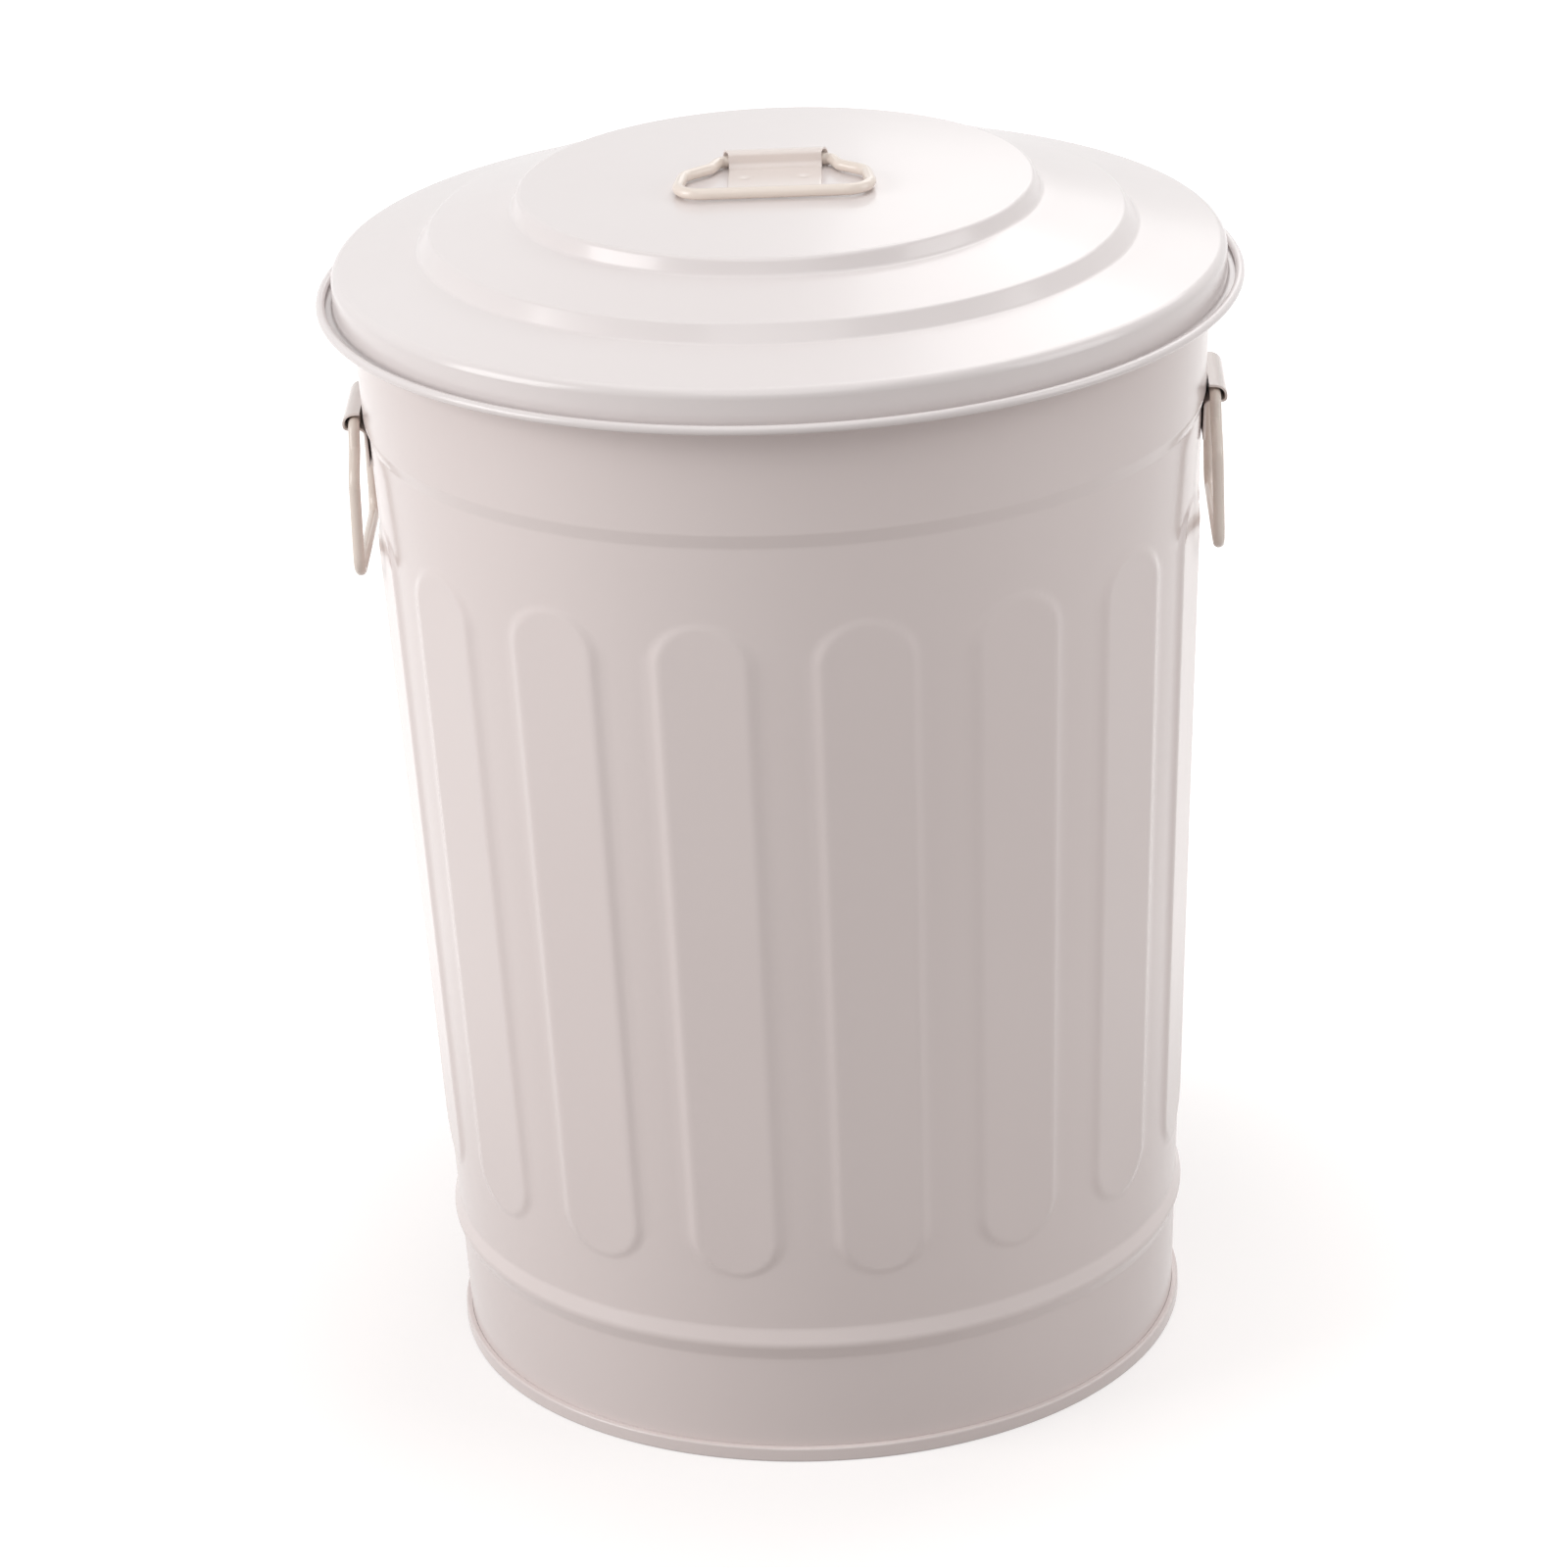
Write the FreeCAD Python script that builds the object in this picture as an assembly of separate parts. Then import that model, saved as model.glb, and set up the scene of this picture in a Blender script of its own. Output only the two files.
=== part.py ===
"""Steel can with a lift-off lid: a tapered sheet body with sixteen pressed panels, a seamed-in
base pan, a stepped lid with a rolled edge, and three strap brackets that each carry a wire bail.

Millimetres, +Z up, origin at the centre of the ring that the can stands on. The front is -Y:
the plain gap between two panels faces it, the lock seam is opposite, and the side bails are on X.
"""

import FreeCAD, Part
import math
import os

from FreeCAD import Vector

# ---- driving dimensions ---------------------------------------------------------------------
SHEET = 0.8                     # body, base and lid steel

# body: a straight cone, read on the outer face of the sheet
WALL_RADIUS = 177.3             # where the cone would meet the floor
WALL_FLARE = 0.0457             # growth of the radius for each millimetre of height
CAN_HEIGHT = 554.2              # floor to the top of the rolled rim
RIM_WIRE_RADIUS = 2.2
RIM_WIRE_CLEARANCE = 0.1
RIM_CURL_END_DEG = -128.0       # the curl stops here, just short of the wall
STEP_FOOT_Z = 475.6             # the crease of the stacking step under the rim band
STEP_HEIGHT = 7.0
STEP_OUT = 2.0
BEAD_Z = 64.0                   # stiffening bead above the base
BEAD_HALF_WIDTH = 8.0
BEAD_PEAK = 3.2
FORM_RADIUS = 6.0               # the bend radius of beads and steps in the body

# pressed panels: flat faces with sloped edges and round ends
PANEL_COUNT = 16
PANEL_PITCH_DEG = 21.94         # leaves one wider gap, for the lock seam
PANEL_FOOT_Z = 99.0
PANEL_TOP_Z = 439.0
PANEL_HALF_DEG = 6.8            # to the middle of the sloped edge, so panels taper with the wall
PANEL_EDGE_RUN = 5.0            # width of the sloped edge
PANEL_EDGE_DROP = 2.2           # height of the sloped edge
PANEL_RISE = 0.6                # flat face above the cone, on the panel's centre line
PANEL_ROOT = 4.4                # how far the pressing tool reaches below the flat face

# vertical lock seam at the back
SEAM_WIDTH = 8.0
SEAM_RISE = 0.9

# base pan and the hem it makes round the body's foot
HEM_POCKET = 1.3                # room between the wall and its foot hook
HEM_HEIGHT = 7.4
HEM_GAP = 0.4                   # between the layers of the hem
PAN_LIFT = 9.8                  # top of the pan above the floor
PAN_BEND = 3.0
PAN_WALL_CLEARANCE = 0.2
PAN_BEAD_RADIUS = 110.0
PAN_BEAD_HALF_WIDTH = 9.0
PAN_BEAD_HEIGHT = 3.0

# lid, read on its upper face; heights are measured from the shoulder corner
LID_CLEARANCE = 1.3             # skirt to the rolled rim, all round
SHOULDER_BEND = 5.0
LOWER_RISER = ((170.4, 7.8), (164.6, 16.1))
UPPER_RISER = ((125.3, 24.9), (121.9, 32.8))
CROWN_HEIGHT = 35.2             # centre of the top plateau
RISER_BEND = 3.0
SKIRT_DEPTH = 17.4              # shoulder corner to the floor of the gutter
GUTTER_WIDTH = 3.6              # skirt to the rolled edge
LID_CURL_RADIUS = 2.2
GUTTER_BEND = 1.5
SEAT_GAP = 0.3                  # lid above the rolled rim

# strap brackets and bails
STRAP = 1.2
STRAP_WIDTH = 44.0
STRAP_BEND = 1.0
LOOP_ROOM = 5.7                 # free depth of the loop behind the wire, out to its far face
LOOP_HEADROOM = 3.5             # free height of the loop over the wire
LOOP_FRONT_BEND = 2.5
LOOP_BACK_BEND = 9.0
LOOP_FLARE = 3.0                # the loop's far edge stands out this much at each end
BAIL_WIRE = 5.5
BAIL_PLAY = 0.4                 # each side of the wire inside the loop
BAIL_REST_GAP = 0.3             # wire to the sheet it lies on
DIMPLE_SPACING = 27.7
DIMPLE_RADIUS = 3.2
DIMPLE_DEPTH = 0.45

LID_PLATE = 33.0
LID_FACE_Y = 8.6                # front face of the lid's loop, in the lid's own frame
LID_BAIL_REACH = 51.0

SIDE_PLATE = 19.0
SIDE_LOOP_RISE = 1.4            # underside of the side loops above the crease of the step
SIDE_BAIL_REACH = 67.4

BAIL_HALF_WIDTH = 46.0
BAIL_SHOULDER = (44.5, 9.5)     # where the wire turns from the wing into the leg
BAIL_NECK = 26.0                # half the straight length that passes through the loop
BAIL_NECK_BEND = 8.0
BAIL_SHOULDER_BEND = 9.0
BAIL_CORNER_BEND = 13.0

# ---- derived places -------------------------------------------------------------------------
FLARE_DEG = math.degrees(math.atan(WALL_FLARE))
RIM_CURL_INNER = RIM_WIRE_RADIUS + RIM_WIRE_CLEARANCE
RIM_CURL_OUTER = RIM_CURL_INNER + SHEET
RIM_Z = CAN_HEIGHT - RIM_CURL_OUTER
BAR_SETBACK = STRAP + BAIL_PLAY + BAIL_WIRE / 2     # front face of the loop to the bail's bar
LOOP_DEPTH = BAR_SETBACK + BAIL_WIRE / 2 + LOOP_ROOM
BAR_LIFT = BAIL_REST_GAP + BAIL_WIRE / 2            # sheet to the middle of the bail's bar
LOOP_HEIGHT = BAR_LIFT + BAIL_WIRE / 2 + LOOP_HEADROOM + STRAP
SIDE_LOOP_Z = STEP_FOOT_Z + SIDE_LOOP_RISE
AXIS = Vector(0, 0, 1)


def wall(z):
    """Outer radius of the plain cone at height z."""
    return WALL_RADIUS + WALL_FLARE * z


RIM_RADIUS = wall(RIM_Z) + STEP_OUT + RIM_CURL_INNER / math.cos(math.radians(FLARE_DEG))
HEM_RADIUS = wall(0) + HEM_POCKET + 2 * SHEET + HEM_GAP
SHOULDER_RADIUS = RIM_RADIUS + RIM_CURL_OUTER + LID_CLEARANCE + SHEET
LID_RADIUS = SHOULDER_RADIUS + GUTTER_WIDTH + 2 * LID_CURL_RADIUS


# ---- profile helpers ------------------------------------------------------------------------
def rounded_path(points, radii):
    """Edges through (r, z) points with a tangent arc of the given radius at each inner point."""
    flat = [Vector(r, 0, z) for r, z in points]
    edges = []
    start = flat[0]
    for corner, after, radius in zip(flat[1:-1], flat[2:], radii):
        back = (start - corner).normalize()
        ahead = (after - corner).normalize()
        half = back.getAngle(ahead) / 2
        if radius <= 0 or abs(half - math.pi / 2) < 1e-4:
            edges.append(Part.LineSegment(start, corner).toShape())
            start = corner
            continue
        run = radius / math.tan(half)
        first = corner + back * run
        last = corner + ahead * run
        middle = corner + (back + ahead).normalize() * (radius / math.sin(half) - radius)
        edges.append(Part.LineSegment(start, first).toShape())
        edges.append(Part.Arc(first, middle, last).toShape())
        start = last
    edges.append(Part.LineSegment(start, flat[-1]).toShape())
    return edges


def polar(center, radius, degrees):
    """Point on a circle in the profile plane."""
    turn = math.radians(degrees)
    return Vector(center[0] + radius * math.cos(turn), 0, center[1] + radius * math.sin(turn))


def curl_arc(center, radius, start_deg, end_deg):
    """Arc of a rolled edge, counter-clockwise in the profile plane."""
    middle = (start_deg + end_deg) / 2
    ends = [polar(center, radius, a) for a in (start_deg, middle, end_deg)]
    return Part.Arc(*ends).toShape()


def offset_edge(edge, distance):
    """Copy of a line or arc, moved to the right of its direction in the profile plane."""
    first = edge.valueAt(edge.FirstParameter)
    last = edge.valueAt(edge.LastParameter)
    if edge.Orientation == "Reversed":
        first, last = last, first
    if isinstance(edge.Curve, (Part.Line, Part.LineSegment)):
        ahead = (last - first).normalize()
        side = Vector(ahead.z, 0, -ahead.x) * distance
        return Part.LineSegment(first + side, last + side).toShape()
    center = edge.Curve.Center
    middle = edge.valueAt((edge.FirstParameter + edge.LastParameter) / 2)
    ahead = middle - first
    to_last = last - first
    left_turn = ahead.x * to_last.z - ahead.z * to_last.x > 0
    grown = edge.Curve.Radius + (distance if left_turn else -distance)
    ends = [center + (p - center).normalize() * grown for p in (first, middle, last)]
    return Part.Arc(*ends).toShape()


def mitred(edges):
    """The same edges, with straight neighbours that don't meet run to their crossing point."""
    joined = list(edges)
    for i in range(len(joined) - 1):
        a, b = joined[i:i + 2]
        (a0, a1), (b0, b1) = [[v.Point for v in e.Vertexes] for e in (a, b)]
        if (a1 - b0).Length < 1e-6:
            continue
        along, after = (a1 - a0).normalize(), (b1 - b0).normalize()
        across = Vector(after.z, 0, -after.x)
        corner = a1 + along * ((b0 - a1).dot(across) / along.dot(across))
        joined[i] = Part.LineSegment(a0, corner).toShape()
        joined[i + 1] = Part.LineSegment(corner, b1).toShape()
    return joined


def sheet_face(edges, thickness):
    """Section of a sheet: the path, its copy to the right, and the two ends that close it."""
    other = mitred([offset_edge(e, thickness) for e in edges])
    near_start, near_end = edges[0].Vertexes[0].Point, edges[-1].Vertexes[-1].Point
    far_start, far_end = other[0].Vertexes[0].Point, other[-1].Vertexes[-1].Point
    caps = [
        Part.LineSegment(near_end, far_end).toShape(),
        Part.LineSegment(far_start, near_start).toShape(),
    ]
    return Part.Face(Part.Wire(Part.__sortEdges__(edges + other + caps)))


def turned(face, degrees=360.0):
    return face.revolve(Vector(0, 0, 0), AXIS, degrees)


def spun(shape, degrees):
    """Copy of a shape, turned about the can's axis."""
    copy = shape.copy()
    copy.rotate(Vector(0, 0, 0), AXIS, degrees)
    return copy


# ---- body -----------------------------------------------------------------------------------
def wall_profile():
    """Corners and bend radii of the wall's outer face, from the rim band down to the foot."""
    step_top = STEP_FOOT_Z + STEP_HEIGHT
    bead_top, bead_foot = BEAD_Z + BEAD_HALF_WIDTH, BEAD_Z - BEAD_HALF_WIDTH
    corners = [
        (wall(step_top) + STEP_OUT, step_top),
        (wall(STEP_FOOT_Z), STEP_FOOT_Z),
        (wall(bead_top), bead_top),
        (wall(BEAD_Z) + BEAD_PEAK, BEAD_Z),
        (wall(bead_foot), bead_foot),
    ]
    return corners, [FORM_RADIUS] * len(corners)


def body_section():
    """The body's sheet, from the end of the rim curl to the tip of its foot hook."""
    rim = (RIM_RADIUS, RIM_Z)
    corners, radii = wall_profile()
    flange_z = 2 * SHEET + HEM_GAP
    hook_radius = HEM_RADIUS - 2 * SHEET - HEM_GAP
    hook_tip = HEM_HEIGHT - SHEET - 2 * HEM_GAP
    curl = curl_arc(rim, RIM_CURL_INNER, RIM_CURL_END_DEG, 180.0 - FLARE_DEG)
    top = [(curl.Vertexes[-1].X, curl.Vertexes[-1].Z)]
    foot = [(wall(flange_z), flange_z), (hook_radius, flange_z), (hook_radius, hook_tip)]
    path = rounded_path(top + corners + foot, radii + [0] * 2)
    return sheet_face([curl] + path, SHEET)


def stadium(half_length, grow, level):
    """Outline with round ends in a plane of constant x: y across, z along, wider at the top.

    grow widens it on every side, beyond the middle of the panel's sloped edge.
    """
    share = math.radians(PANEL_HALF_DEG)
    foot_radius = share * wall(PANEL_FOOT_Z) + grow
    top_radius = share * wall(PANEL_TOP_Z) + grow
    foot_z, top_z = foot_radius - half_length - grow, half_length + grow - top_radius
    lean = math.asin((top_radius - foot_radius) / (top_z - foot_z))
    across, down = math.cos(lean), -math.sin(lean)
    low = Vector(level, foot_radius * across, foot_z + foot_radius * down)
    high = Vector(level, top_radius * across, top_z + top_radius * down)
    crown, toe = Vector(level, 0, top_z + top_radius), Vector(level, 0, foot_z - foot_radius)
    far_low, far_high = Vector(level, -low.y, low.z), Vector(level, -high.y, high.z)
    edges = [
        Part.LineSegment(low, high).toShape(),
        Part.Arc(high, crown, far_high).toShape(),
        Part.LineSegment(far_high, far_low).toShape(),
        Part.Arc(far_low, toe, low).toShape(),
    ]
    return Part.Wire(edges)


def panel_tool(inset):
    """Flat-faced block with sloped sides, lying on the cone at angle 0; inset is the sheet."""
    middle = (PANEL_FOOT_Z + PANEL_TOP_Z) / 2
    half_length = (PANEL_TOP_Z - PANEL_FOOT_Z) / 2
    slope = PANEL_EDGE_RUN / PANEL_EDGE_DROP
    edge_angle = math.atan2(PANEL_EDGE_DROP, PANEL_EDGE_RUN)
    shrink = PANEL_EDGE_RUN / 2 + inset * math.tan(edge_angle / 2)
    face_level = PANEL_RISE - inset
    face = stadium(half_length, -shrink, face_level)
    root = stadium(half_length, slope * PANEL_ROOT - shrink, face_level - PANEL_ROOT)
    tool = Part.makeLoft([root, face], True, True)
    tool.rotate(Vector(0, 0, 0), Vector(0, 1, 0), FLARE_DEG)
    tool.translate(Vector(wall(middle), 0, middle))
    return tool


def panel_angles():
    """Angles of the panels from the +X axis; the plain gap in front faces -Y."""
    first = -90.0 + PANEL_PITCH_DEG / 2
    count = PANEL_COUNT // 2
    return [first + PANEL_PITCH_DEG * i for i in range(-count, PANEL_COUNT - count)]


def cone_plug(inset, low, high):
    """Solid cone inside the wall, from height low to high."""
    return Part.makeCone(wall(low) - inset, wall(high) - inset, high - low, Vector(0, 0, low))


def lock_seam():
    """Folded vertical seam: a strip that follows the wall at the back."""
    corners, radii = wall_profile()
    low, high = HEM_HEIGHT + 3, RIM_Z - 8
    ends = [(wall(high) + STEP_OUT, high)], [(wall(low), low)]
    path = rounded_path(ends[0] + corners + ends[1], radii)
    strip = sheet_face(path, -SEAM_RISE)
    degrees = math.degrees(SEAM_WIDTH / wall(BEAD_Z))
    return spun(turned(strip, degrees), 90.0 - degrees / 2)


def body_shell():
    """Rolled and seamed wall: curl, step, sixteen panels, bead, lock seam and foot hook."""
    tube = turned(body_section())
    raised = [spun(panel_tool(0.0), a) for a in panel_angles()]
    hollow = [spun(panel_tool(SHEET), a) for a in panel_angles()]
    low, high = PANEL_FOOT_Z - 12, PANEL_TOP_Z + 12
    plug = cone_plug(SHEET, low, high).multiFuse(hollow)
    pressed = tube.multiFuse(raised).cut(plug)
    return pressed.fuse(lock_seam())


def wall_block():
    """Everything inside the wall's outer face: what sits against the wall is trimmed by it."""
    corners, radii = wall_profile()
    top = (wall(RIM_Z - 3) + STEP_OUT, RIM_Z - 3)
    foot = (wall(HEM_HEIGHT), HEM_HEIGHT)
    path = rounded_path([(0, top[1]), top] + corners + [foot, (0, foot[1])], [0] + radii + [0])
    axis_line = Part.LineSegment(Vector(0, 0, foot[1]), Vector(0, 0, top[1])).toShape()
    return turned(Part.Face(Part.Wire(path + [axis_line])))


def body_rim_wire():
    return Part.makeTorus(RIM_RADIUS, RIM_WIRE_RADIUS, Vector(0, 0, RIM_Z), AXIS)


def base_pan():
    """Raised base with a stiffening bead; its edge wraps round the body's foot as the hem."""
    inner = wall(0) - SHEET - PAN_WALL_CLEARANCE
    outer = HEM_RADIUS - SHEET
    lip_z = HEM_HEIGHT - SHEET
    bead_in, bead_out = PAN_BEAD_RADIUS - PAN_BEAD_HALF_WIDTH, PAN_BEAD_RADIUS + PAN_BEAD_HALF_WIDTH
    bead_top = PAN_LIFT + PAN_BEAD_HEIGHT
    half_top = PAN_BEAD_HALF_WIDTH / 3
    corners = [
        (0, PAN_LIFT),
        (bead_in, PAN_LIFT),
        (PAN_BEAD_RADIUS - half_top, bead_top),
        (PAN_BEAD_RADIUS + half_top, bead_top),
        (bead_out, PAN_LIFT),
        (inner, PAN_LIFT),
        (inner, SHEET),
        (outer, SHEET),
        (outer, lip_z),
        (wall(lip_z) + PAN_WALL_CLEARANCE, lip_z),
    ]
    radii = [PAN_BEND] * 5 + [0] * 3
    return turned(sheet_face(rounded_path(corners, radii), SHEET))


# ---- lid ------------------------------------------------------------------------------------
def lid_levels():
    """Height of the shoulder corner, so that the lid rests just above the rolled rim."""
    (riser_radius, riser_height) = LOWER_RISER[0]
    slope = riser_height / (SHOULDER_RADIUS - riser_radius)
    lean = math.cos(math.atan(slope))
    seat = RIM_Z + (RIM_CURL_OUTER + SEAT_GAP + SHEET) / lean
    return seat - slope * (SHOULDER_RADIUS - RIM_RADIUS)


SHOULDER_Z = lid_levels()


def crown_top():
    """Height of the middle of the plateau's upper face."""
    return SHOULDER_Z + CROWN_HEIGHT


def lid_shell():
    """Stepped lid: crowned plateau, two risers, skirt, gutter and rolled edge."""
    edge_radius, edge_height = UPPER_RISER[1]
    half = edge_radius / 2
    crown_turn = math.atan2(CROWN_HEIGHT - edge_height, half)
    crown_bend = 0.9 * half / math.tan(crown_turn / 2)
    gutter_z = SHOULDER_Z - SKIRT_DEPTH
    curl_inner = LID_CURL_RADIUS - SHEET
    curl_center = (LID_RADIUS - LID_CURL_RADIUS, gutter_z + curl_inner)
    risers = [UPPER_RISER[1], UPPER_RISER[0], LOWER_RISER[1], LOWER_RISER[0]]
    corners = [(0, crown_top()), (half, crown_top())]
    corners += [(r, SHOULDER_Z + h) for r, h in risers]
    corners += [(SHOULDER_RADIUS, SHOULDER_Z), (SHOULDER_RADIUS, gutter_z), (curl_center[0], gutter_z)]
    radii = [crown_bend] + [RISER_BEND] * 4 + [SHOULDER_BEND, GUTTER_BEND]
    path = rounded_path(corners, radii)
    curl = curl_arc(curl_center, curl_inner, -90.0, 170.0)
    return turned(sheet_face(path + [curl], SHEET))


# ---- brackets and bails ---------------------------------------------------------------------
def strap_bracket(plate, step=0.0):
    """Strap over the bail's wire. x runs along the surface, away from the plate; z is outward.

    The plate lies on the surface at x < 0; step is how much higher the loop's far edge stands.
    """
    height = LOOP_HEIGHT + step
    corners = [(-plate, STRAP), (0, STRAP), (0, height), (LOOP_DEPTH, height), (LOOP_DEPTH, step)]
    path = rounded_path(corners, [STRAP_BEND, LOOP_FRONT_BEND, LOOP_BACK_BEND])
    half, wide = STRAP_WIDTH / 2, STRAP_WIDTH / 2 + LOOP_FLARE
    strap = sheet_face(path, STRAP).extrude(Vector(0, 2 * wide, 0))
    strap.translate(Vector(0, -wide, 0))
    outline = [(-plate, -half), (0, -half), (LOOP_DEPTH, -wide)]
    outline += [(x, -y) for x, y in reversed(outline)]
    plan = Part.Face(Part.makePolygon([Vector(x, y, -STRAP) for x, y in outline + outline[:1]]))
    strap = strap.common(plan.extrude(Vector(0, 0, height + 2 * STRAP)))
    ball = (DIMPLE_RADIUS ** 2 + DIMPLE_DEPTH ** 2) / (2 * DIMPLE_DEPTH)
    for side in (-0.5, 0.5):
        center = Vector(-plate / 2, side * DIMPLE_SPACING, STRAP + ball - DIMPLE_DEPTH)
        strap = strap.cut(Part.makeSphere(ball, center))
    return strap


def bail(reach):
    """Closed wire handle in the x-y plane: its bar on the y axis, its grip at x = -reach."""
    half = [(0.0, BAIL_NECK), (-BAIL_SHOULDER[1], BAIL_SHOULDER[0]), (-reach, BAIL_HALF_WIDTH)]
    bends = [BAIL_NECK_BEND, BAIL_SHOULDER_BEND, BAIL_CORNER_BEND]
    corners = [(0.0, 0.0)] + half + [(x, -y) for x, y in reversed(half)] + [(0.0, 0.0)]
    edges = rounded_path(corners, bends + bends[::-1])
    path = Part.Wire(edges)
    path.rotate(Vector(0, 0, 0), Vector(1, 0, 0), -90.0)
    section = Part.Wire(Part.Circle(Vector(0, 0, 0), Vector(0, 1, 0), BAIL_WIRE / 2).toShape())
    return path.makePipeShell([section], True, False)


def on_lid(shape):
    """Place a bracket or bail, built at the origin, on the lid's crown."""
    placed = shape.copy()
    placed.rotate(Vector(0, 0, 0), AXIS, 90.0)
    placed.translate(Vector(0, LID_FACE_Y, crown_top()))
    return placed


def on_side(shape, side, lean=0.0):
    """Stand a bracket or bail, built at the origin, against the wall at +X or -X."""
    placed = shape.copy()
    placed.rotate(Vector(0, 0, 0), Vector(0, 1, 0), -lean)
    placed.rotate(Vector(0, 0, 0), Vector(0, 1, 0), -90.0)
    placed.rotate(Vector(0, 0, 0), AXIS, 180.0)
    placed.translate(Vector(wall(SIDE_LOOP_Z), 0, SIDE_LOOP_Z))
    return placed if side > 0 else spun(placed, 180.0)


def lid_bracket():
    return on_lid(strap_bracket(LID_PLATE))


def lid_bail():
    wire = bail(LID_BAIL_REACH)
    wire.translate(Vector(BAR_SETBACK, 0, BAR_LIFT))
    return on_lid(wire)


def side_bracket(side, block):
    """The plate lies on the wall below the step; the loop's far edge stands on the rim band."""
    strap = strap_bracket(SIDE_PLATE, STEP_OUT)
    return on_side(strap, side, FLARE_DEG).cut(block)


def side_pivot():
    """Middle of a side bail's bar: centred in the leaning loop, clear of the step behind it."""
    lift = STEP_OUT + BAR_LIFT
    lean = math.radians(FLARE_DEG)
    along = BAR_SETBACK * math.cos(lean) - lift * math.sin(lean)
    outward = BAR_SETBACK * math.sin(lean) + lift * math.cos(lean)
    return Vector(along, 0, outward)


def side_bail(side):
    wire = bail(SIDE_BAIL_REACH)
    wire.translate(side_pivot())
    return on_side(wire, side)


# ---- output ---------------------------------------------------------------------------------
def main():
    os.makedirs("parts", exist_ok=True)
    block = wall_block()
    parts = {
        "body_shell": body_shell(),
        "body_rim_wire": body_rim_wire(),
        "base_pan": base_pan(),
        "lid_shell": lid_shell(),
        "lid_bracket": lid_bracket(),
        "lid_bail": lid_bail(),
        "left_bracket": side_bracket(-1, block),
        "left_bail": side_bail(-1),
        "right_bracket": side_bracket(1, block),
        "right_bail": side_bail(1),
    }
    for name, shape in parts.items():
        box = shape.BoundBox
        print(name, shape.ShapeType, len(shape.Solids), shape.isValid(), round(shape.Volume),
              [round(v, 1) for v in (box.XMin, box.YMin, box.ZMin, box.XMax, box.YMax, box.ZMax)])
        shape.exportStep("parts/" + name + ".step")
    lift = side_pivot()
    print("lid bail pivot", 0, LID_FACE_Y + BAR_SETBACK, crown_top() + BAR_LIFT)
    print("side bail pivot", wall(SIDE_LOOP_Z) + lift.z, 0, SIDE_LOOP_Z + lift.x)


main()
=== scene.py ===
import math

import bpy
import numpy as np
from mathutils import Matrix, Vector

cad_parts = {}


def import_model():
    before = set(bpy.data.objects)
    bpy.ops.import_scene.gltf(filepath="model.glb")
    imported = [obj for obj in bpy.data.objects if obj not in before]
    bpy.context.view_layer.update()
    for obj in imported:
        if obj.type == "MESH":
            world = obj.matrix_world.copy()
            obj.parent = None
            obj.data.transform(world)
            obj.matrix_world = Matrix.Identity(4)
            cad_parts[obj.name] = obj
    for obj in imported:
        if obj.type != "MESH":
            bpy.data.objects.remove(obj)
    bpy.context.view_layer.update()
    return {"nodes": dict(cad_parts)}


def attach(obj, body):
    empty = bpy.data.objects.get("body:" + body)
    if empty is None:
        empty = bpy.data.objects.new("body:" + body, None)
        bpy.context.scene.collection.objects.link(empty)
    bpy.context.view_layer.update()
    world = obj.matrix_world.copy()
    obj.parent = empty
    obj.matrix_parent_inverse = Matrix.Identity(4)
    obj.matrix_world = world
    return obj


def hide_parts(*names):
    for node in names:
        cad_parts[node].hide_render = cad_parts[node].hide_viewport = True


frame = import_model()


# ---- sizes, in millimetres and degrees -------------------------------------------------------
SHEET = 0.8                     # body, base and lid steel
FRONT, BACK = -90.0, 90.0       # directions round the can's axis

# body
WALL_RADIUS = 177.3             # where the cone would meet the floor
WALL_FLARE = 0.0457             # growth of the radius for each millimetre of height
SLOPE = math.atan(WALL_FLARE)
CAN_HEIGHT = 554.2              # floor to the top of the rolled rim
RIM_CURL_INNER, RIM_CURL_OUTER = 2.3, 3.1
RIM_CURL_END = -128.0           # the curl stops here, just short of the wall
STEP_FOOT_Z, STEP_HEIGHT, STEP_OUT = 475.6, 7.0, 2.0
BEAD_Z, BEAD_HALF_WIDTH, BEAD_PEAK = 64.0, 8.0, 3.2
FORM_RADIUS = 6.0               # the bend radius of beads and steps in the body
FOOT_Z, HOOK_TOP_Z, HOOK_BEND = 2.0, 5.8, 0.4
HEM_POCKET, HEM_GAP = 1.3, 0.4  # room for the hook, and between the layers of the hem

# pressed panels and lock seam
PANEL_COUNT, PANEL_PITCH = 16, 21.94
PANEL_FOOT_Z, PANEL_TOP_Z = 99.0, 439.0
PANEL_HALF_DEG = 6.8            # to the middle of the sloped edge
PANEL_RISE = 0.6                # flat face above the cone, on the panel's centre line
PANEL_RUN, PANEL_DROP = 5.0, 2.2    # width and height of the sloped edge
PANEL_BLEND = 0.7               # how softly the faces of a panel meet
PANEL_CUT = 14                  # degrees beside the seam without a panel, which cuts two short
SEAM_WIDTH, SEAM_RISE, SEAM_EDGE = 8.0, 0.9, 0.9
RELIEF_MARGIN = 9.0             # plain wall at the foot and under the rim
SEAM_FADE_FOOT, SEAM_FADE_TOP = 1.5, 2.0

# base pan
PAN_LIFT, PAN_INSET = 9.8, 1.0
PAN_BEAD = ((101, 9.8), (107, 12.8), (113, 12.8), (119, 9.8))
PAN_BEND, HEM_BEND = 3.0, 0.3
HEM_LIP_Z, HEM_LIP_GAP = 6.6, 0.2

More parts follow.
